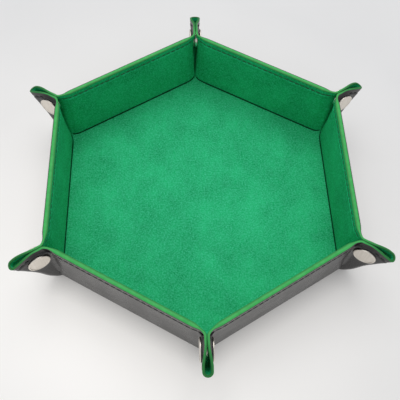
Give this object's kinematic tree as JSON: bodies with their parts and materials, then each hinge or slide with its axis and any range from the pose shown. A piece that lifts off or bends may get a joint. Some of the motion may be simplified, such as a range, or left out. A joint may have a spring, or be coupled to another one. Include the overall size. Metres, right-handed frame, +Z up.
{
  "type": "folding dice tray",
  "caption": "Hexagonal folding dice tray: velvet-lined leather laminate over boards, walls held up by snap fasteners in pinched corner ears; unsnaps to lie flat.",
  "frame": {"origin": "centre of the underside, on the table", "axes": "+Z up out of the tray; Y runs from ear to ear, with corner 1 towards -Y; X runs from wall to wall"},
  "size_m": [0.212, 0.2416, 0.0425],
  "materials": {
    "velvet": "brushed nap",
    "leather": "fine grain, satin",
    "board": "grey bookbinding board",
    "nickel": "satin nickel plate"
  },
  "bodies": {
    "base": {"base_board": "board", "floor_lining": "velvet", "base_cover": "leather"},
    "wall_1": {"wall_1_board": "board", "wall_1_lining": "velvet", "wall_1_cover": "leather"},
    "wall_2": {"wall_2_board": "board", "wall_2_lining": "velvet", "wall_2_cover": "leather"},
    "wall_3": {"wall_3_board": "board", "wall_3_lining": "velvet", "wall_3_cover": "leather"},
    "wall_4": {"wall_4_board": "board", "wall_4_lining": "velvet", "wall_4_cover": "leather"},
    "wall_5": {"wall_5_board": "board", "wall_5_lining": "velvet", "wall_5_cover": "leather"},
    "wall_6": {"wall_6_board": "board", "wall_6_lining": "velvet", "wall_6_cover": "leather"},
    "ear_1_left": {"ear_1_left": "leather", "snap_1_left_cap": "nickel", "snap_1_socket": "nickel"},
    "ear_1_right": {"ear_1_right": "leather", "snap_1_right_cap": "nickel", "snap_1_stud": "nickel"},
    "ear_2_left": {"ear_2_left": "leather", "snap_2_left_cap": "nickel", "snap_2_socket": "nickel"},
    "ear_2_right": {"ear_2_right": "leather", "snap_2_right_cap": "nickel", "snap_2_stud": "nickel"},
    "ear_3_left": {"ear_3_left": "leather", "snap_3_left_cap": "nickel", "snap_3_socket": "nickel"},
    "ear_3_right": {"ear_3_right": "leather", "snap_3_right_cap": "nickel", "snap_3_stud": "nickel"},
    "ear_4_left": {"ear_4_left": "leather", "snap_4_left_cap": "nickel", "snap_4_socket": "nickel"},
    "ear_4_right": {"ear_4_right": "leather", "snap_4_right_cap": "nickel", "snap_4_stud": "nickel"},
    "ear_5_left": {"ear_5_left": "leather", "snap_5_left_cap": "nickel", "snap_5_socket": "nickel"},
    "ear_5_right": {"ear_5_right": "leather", "snap_5_right_cap": "nickel", "snap_5_stud": "nickel"},
    "ear_6_left": {"ear_6_left": "leather", "snap_6_left_cap": "nickel", "snap_6_socket": "nickel"},
    "ear_6_right": {"ear_6_right": "leather", "snap_6_right_cap": "nickel", "snap_6_stud": "nickel"}
  },
  "joints": [
    {"name": "wall_1_fold", "type": "hinge", "parent": "base", "child": "wall_1", "pos_m": [0.042, -0.07275, 0.0029], "axis": [0.866, 0.5, 0], "range_deg": [0, 84]},
    {"name": "wall_2_fold", "type": "hinge", "parent": "base", "child": "wall_2", "pos_m": [0.084, 0, 0.0029], "axis": [0, 1, 0], "range_deg": [0, 84]},
    {"name": "wall_3_fold", "type": "hinge", "parent": "base", "child": "wall_3", "pos_m": [0.042, 0.07275, 0.0029], "axis": [-0.866, 0.5, 0], "range_deg": [0, 84]},
    {"name": "wall_4_fold", "type": "hinge", "parent": "base", "child": "wall_4", "pos_m": [-0.042, 0.07275, 0.0029], "axis": [-0.866, -0.5, 0], "range_deg": [0, 84]},
    {"name": "wall_5_fold", "type": "hinge", "parent": "base", "child": "wall_5", "pos_m": [-0.084, 0, 0.0029], "axis": [0, -1, 0], "range_deg": [0, 84]},
    {"name": "wall_6_fold", "type": "hinge", "parent": "base", "child": "wall_6", "pos_m": [-0.042, -0.07275, 0.0029], "axis": [0.866, -0.5, 0], "range_deg": [0, 84]},
    {"name": "ear_1_left_fold", "type": "hinge", "parent": "wall_6", "child": "ear_1_left", "pos_m": [-0.00215, -0.09743, 0.00283], "axis": [0, -0.0564, 0.9984], "range_deg": [0, 58.19]},
    {"name": "ear_1_right_fold", "type": "hinge", "parent": "wall_1", "child": "ear_1_right", "pos_m": [0.00215, -0.09743, 0.00283], "axis": [0, 0.0564, -0.9984], "range_deg": [0, 58.19]},
    {"name": "ear_2_left_fold", "type": "hinge", "parent": "wall_1", "child": "ear_2_left", "pos_m": [0.0833, -0.05057, 0.00283], "axis": [0.0488, -0.0282, 0.9984], "range_deg": [0, 58.19]},
    {"name": "ear_2_right_fold", "type": "hinge", "parent": "wall_2", "child": "ear_2_right", "pos_m": [0.08545, -0.04685, 0.00283], "axis": [-0.0488, 0.0282, -0.9984], "range_deg": [0, 58.19]},
    {"name": "ear_3_left_fold", "type": "hinge", "parent": "wall_2", "child": "ear_3_left", "pos_m": [0.08545, 0.04685, 0.00283], "axis": [0.0488, 0.0282, 0.9984], "range_deg": [0, 58.19]},
    {"name": "ear_3_right_fold", "type": "hinge", "parent": "wall_3", "child": "ear_3_right", "pos_m": [0.0833, 0.05057, 0.00283], "axis": [-0.0488, -0.0282, -0.9984], "range_deg": [0, 58.19]},
    {"name": "ear_4_left_fold", "type": "hinge", "parent": "wall_3", "child": "ear_4_left", "pos_m": [0.00215, 0.09743, 0.00283], "axis": [0, 0.0564, 0.9984], "range_deg": [0, 58.19]},
    {"name": "ear_4_right_fold", "type": "hinge", "parent": "wall_4", "child": "ear_4_right", "pos_m": [-0.00215, 0.09743, 0.00283], "axis": [0, -0.0564, -0.9984], "range_deg": [0, 58.19]},
    {"name": "ear_5_left_fold", "type": "hinge", "parent": "wall_4", "child": "ear_5_left", "pos_m": [-0.0833, 0.05057, 0.00283], "axis": [-0.0488, 0.0282, 0.9984], "range_deg": [0, 58.19]},
    {"name": "ear_5_right_fold", "type": "hinge", "parent": "wall_5", "child": "ear_5_right", "pos_m": [-0.08545, 0.04685, 0.00283], "axis": [0.0488, -0.0282, -0.9984], "range_deg": [0, 58.19]},
    {"name": "ear_6_left_fold", "type": "hinge", "parent": "wall_5", "child": "ear_6_left", "pos_m": [-0.08545, -0.04685, 0.00283], "axis": [-0.0488, -0.0282, 0.9984], "range_deg": [0, 58.19]},
    {"name": "ear_6_right_fold", "type": "hinge", "parent": "wall_6", "child": "ear_6_right", "pos_m": [-0.0833, -0.05057, 0.00283], "axis": [0.0488, 0.0282, -0.9984], "range_deg": [0, 58.19]}
  ],
  "couplings": [
    {"joint": "wall_2_fold", "follows": "wall_1_fold", "ratio": 1},
    {"joint": "wall_3_fold", "follows": "wall_1_fold", "ratio": 1},
    {"joint": "wall_4_fold", "follows": "wall_1_fold", "ratio": 1},
    {"joint": "wall_5_fold", "follows": "wall_1_fold", "ratio": 1},
    {"joint": "wall_6_fold", "follows": "wall_1_fold", "ratio": 1},
    {"joint": "ear_1_left_fold", "follows": "wall_1_fold", "ratio": 0.69266},
    {"joint": "ear_1_right_fold", "follows": "wall_1_fold", "ratio": 0.69266},
    {"joint": "ear_2_left_fold", "follows": "wall_1_fold", "ratio": 0.69266},
    {"joint": "ear_2_right_fold", "follows": "wall_1_fold", "ratio": 0.69266},
    {"joint": "ear_3_left_fold", "follows": "wall_1_fold", "ratio": 0.69266},
    {"joint": "ear_3_right_fold", "follows": "wall_1_fold", "ratio": 0.69266},
    {"joint": "ear_4_left_fold", "follows": "wall_1_fold", "ratio": 0.69266},
    {"joint": "ear_4_right_fold", "follows": "wall_1_fold", "ratio": 0.69266},
    {"joint": "ear_5_left_fold", "follows": "wall_1_fold", "ratio": 0.69266},
    {"joint": "ear_5_right_fold", "follows": "wall_1_fold", "ratio": 0.69266},
    {"joint": "ear_6_left_fold", "follows": "wall_1_fold", "ratio": 0.69266},
    {"joint": "ear_6_right_fold", "follows": "wall_1_fold", "ratio": 0.69266}
  ]
}
